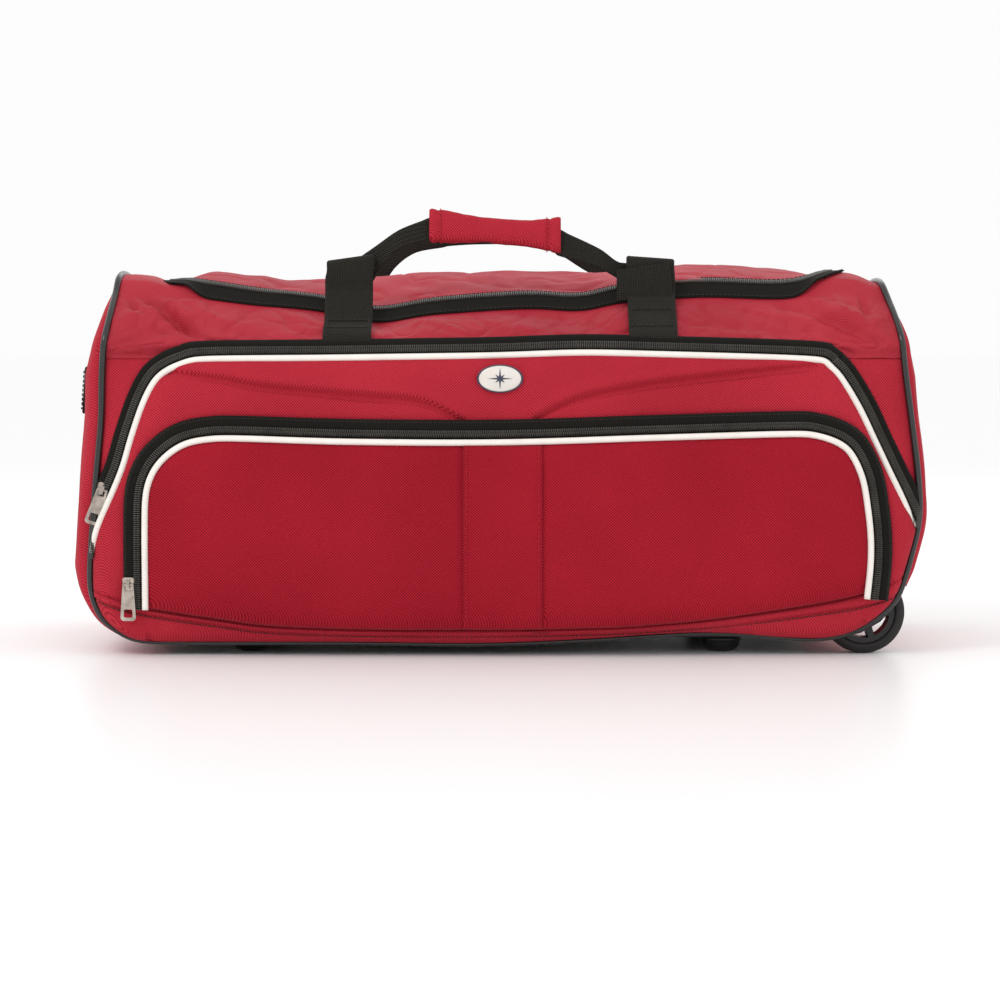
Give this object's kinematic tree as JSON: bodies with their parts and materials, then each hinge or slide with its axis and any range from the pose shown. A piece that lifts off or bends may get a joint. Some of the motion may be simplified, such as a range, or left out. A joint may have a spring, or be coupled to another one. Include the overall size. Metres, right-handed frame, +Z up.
{
  "type": "rolling duffel bag",
  "caption": "Soft rolling duffel bag with a zipped lid, two stacked front pockets, carry handles, an end handle, rear wheels and feet.",
  "frame": {"origin": "middle of the bag's footprint, on the surface it stands on", "axes": "+X towards the wheel end, -Y out of the pocket side, +Z up"},
  "size_m": [0.6578, 0.2922, 0.347],
  "materials": {
    "red_panel": "woven polyester",
    "red_pocket": "padded woven polyester",
    "red_thin": "light shiny polyester",
    "piping": "glossy vinyl welt",
    "white_piping": "white vinyl welt",
    "zip_tape": "woven tape with nylon coil",
    "webbing": "ribbed polypropylene webbing",
    "base_cloth": "coated black cloth",
    "nickel": "nickel plated",
    "axle_steel": "plain",
    "black_plastic": "moulded",
    "tyre": "moulded",
    "board": "pressed board",
    "enamel": "gloss enamel"
  },
  "bodies": {
    "bag": {"front_wall": "red_panel", "back_panel": "red_panel", "top_front_panel": "red_thin", "top_back_panel": "red_thin", "top_left_panel": "red_thin", "top_right_panel": "red_thin", "main_zip_tape": "zip_tape", "left_end_panel": "red_panel", "right_end_panel": "red_panel", "base_panel": "base_cloth", "base_board": "board", "wheel_end_board": "board", "wheel_housing_front": "black_plastic", "wheel_housing_back": "black_plastic", "axle_front": "axle_steel", "axle_back": "axle_steel", "foot_left_front": "black_plastic", "foot_left_back": "black_plastic", "foot_right_front": "black_plastic", "foot_right_back": "black_plastic", "front_piping": "piping", "back_piping": "piping", "top_left_piping": "piping", "top_right_piping": "piping", "front_left_anchor": "webbing", "front_right_anchor": "webbing", "back_left_anchor": "webbing", "back_right_anchor": "webbing", "end_handle": "webbing", "outer_zip_tape": "zip_tape", "pocket_base": "red_panel"},
    "lid": {"lid_panel": "red_thin"},
    "front_handle": {"front_handle_webbing": "webbing", "handle_wrap": "red_panel"},
    "back_handle": {"back_handle_webbing": "webbing"},
    "outer_pocket": {"outer_pocket_panel": "red_panel", "outer_pocket_piping": "white_piping", "inner_zip_tape": "zip_tape", "badge": "enamel"},
    "inner_pocket": {"inner_pocket_panel": "red_pocket", "inner_pocket_piping": "white_piping", "centre_strip": "red_pocket"},
    "outer_slider": {"outer_zip_slider": "nickel"},
    "outer_pull": {"outer_zip_pull": "nickel"},
    "inner_slider": {"inner_zip_slider": "nickel"},
    "inner_pull": {"inner_zip_pull": "nickel"},
    "main_slider": {"main_zip_slider": "nickel"},
    "main_pull": {"main_zip_pull": "nickel"},
    "wheel_front": {"tyre_front": "tyre", "hub_front": "black_plastic"},
    "wheel_back": {"tyre_back": "tyre", "hub_back": "black_plastic"}
  },
  "joints": [
    {"name": "lid_open", "type": "hinge", "parent": "bag", "child": "lid", "pos_m": [0.00415, 0.08783, 0.29], "axis": [-1, 0, 0], "range_deg": [0, 110]},
    {"name": "back_handle_swing", "type": "hinge", "parent": "bag", "child": "back_handle", "pos_m": [0.00415, 0.10833, 0.281], "axis": [-1, 0, 0], "range_deg": [0, 110]},
    {"name": "front_handle_swing", "type": "hinge", "parent": "bag", "child": "front_handle", "pos_m": [0.00415, -0.08567, 0.281], "axis": [1, 0, 0], "range_deg": [0, 110]},
    {"name": "outer_pocket_open", "type": "hinge", "parent": "bag", "child": "outer_pocket", "pos_m": [0.00415, -0.13447, 0.0275], "axis": [1, 0, 0], "range_deg": [0, 55]},
    {"name": "inner_pocket_open", "type": "hinge", "parent": "outer_pocket", "child": "inner_pocket", "pos_m": [0.00415, -0.14477, 0.0475], "axis": [1, 0, 0], "range_deg": [0, 45]},
    {"name": "outer_slider_run", "type": "slide", "parent": "bag", "child": "outer_slider", "axis": [0.314, 0, 0.9494], "range_m": [0, 0.07]},
    {"name": "outer_pull_swing", "type": "hinge", "parent": "outer_slider", "child": "outer_pull", "pos_m": [-0.3089, -0.12962, 0.13], "axis": [-0.9494, 0, 0.314], "range_deg": [0, 160]},
    {"name": "inner_slider_run", "type": "slide", "parent": "outer_pocket", "child": "inner_slider", "axis": [0, 0, 1], "range_m": [0, 0.06]},
    {"name": "inner_pull_swing", "type": "hinge", "parent": "inner_slider", "child": "inner_pull", "pos_m": [-0.28765, -0.14292, 0.057], "axis": [-1, 0, 0], "range_deg": [0, 160]},
    {"name": "main_slider_run", "type": "slide", "parent": "bag", "child": "main_slider", "axis": [0, -1, 0], "range_m": [0, 0.1]},
    {"name": "main_pull_swing", "type": "hinge", "parent": "main_slider", "child": "main_pull", "pos_m": [-0.2625, 0.06583, 0.29675], "axis": [-1, 0, 0], "range_deg": [0, 160]},
    {"name": "front_wheel_spin", "type": "hinge", "parent": "bag", "child": "wheel_front", "pos_m": [0.28815, -0.10337, 0.0326], "axis": [0, 1, 0], "continuous": true},
    {"name": "back_wheel_spin", "type": "hinge", "parent": "bag", "child": "wheel_back", "pos_m": [0.28815, 0.12603, 0.0326], "axis": [0, 1, 0], "continuous": true}
  ],
  "couplings": [
    {"joint": "back_handle_swing", "follows": "lid_open", "ratio": 1}
  ]
}
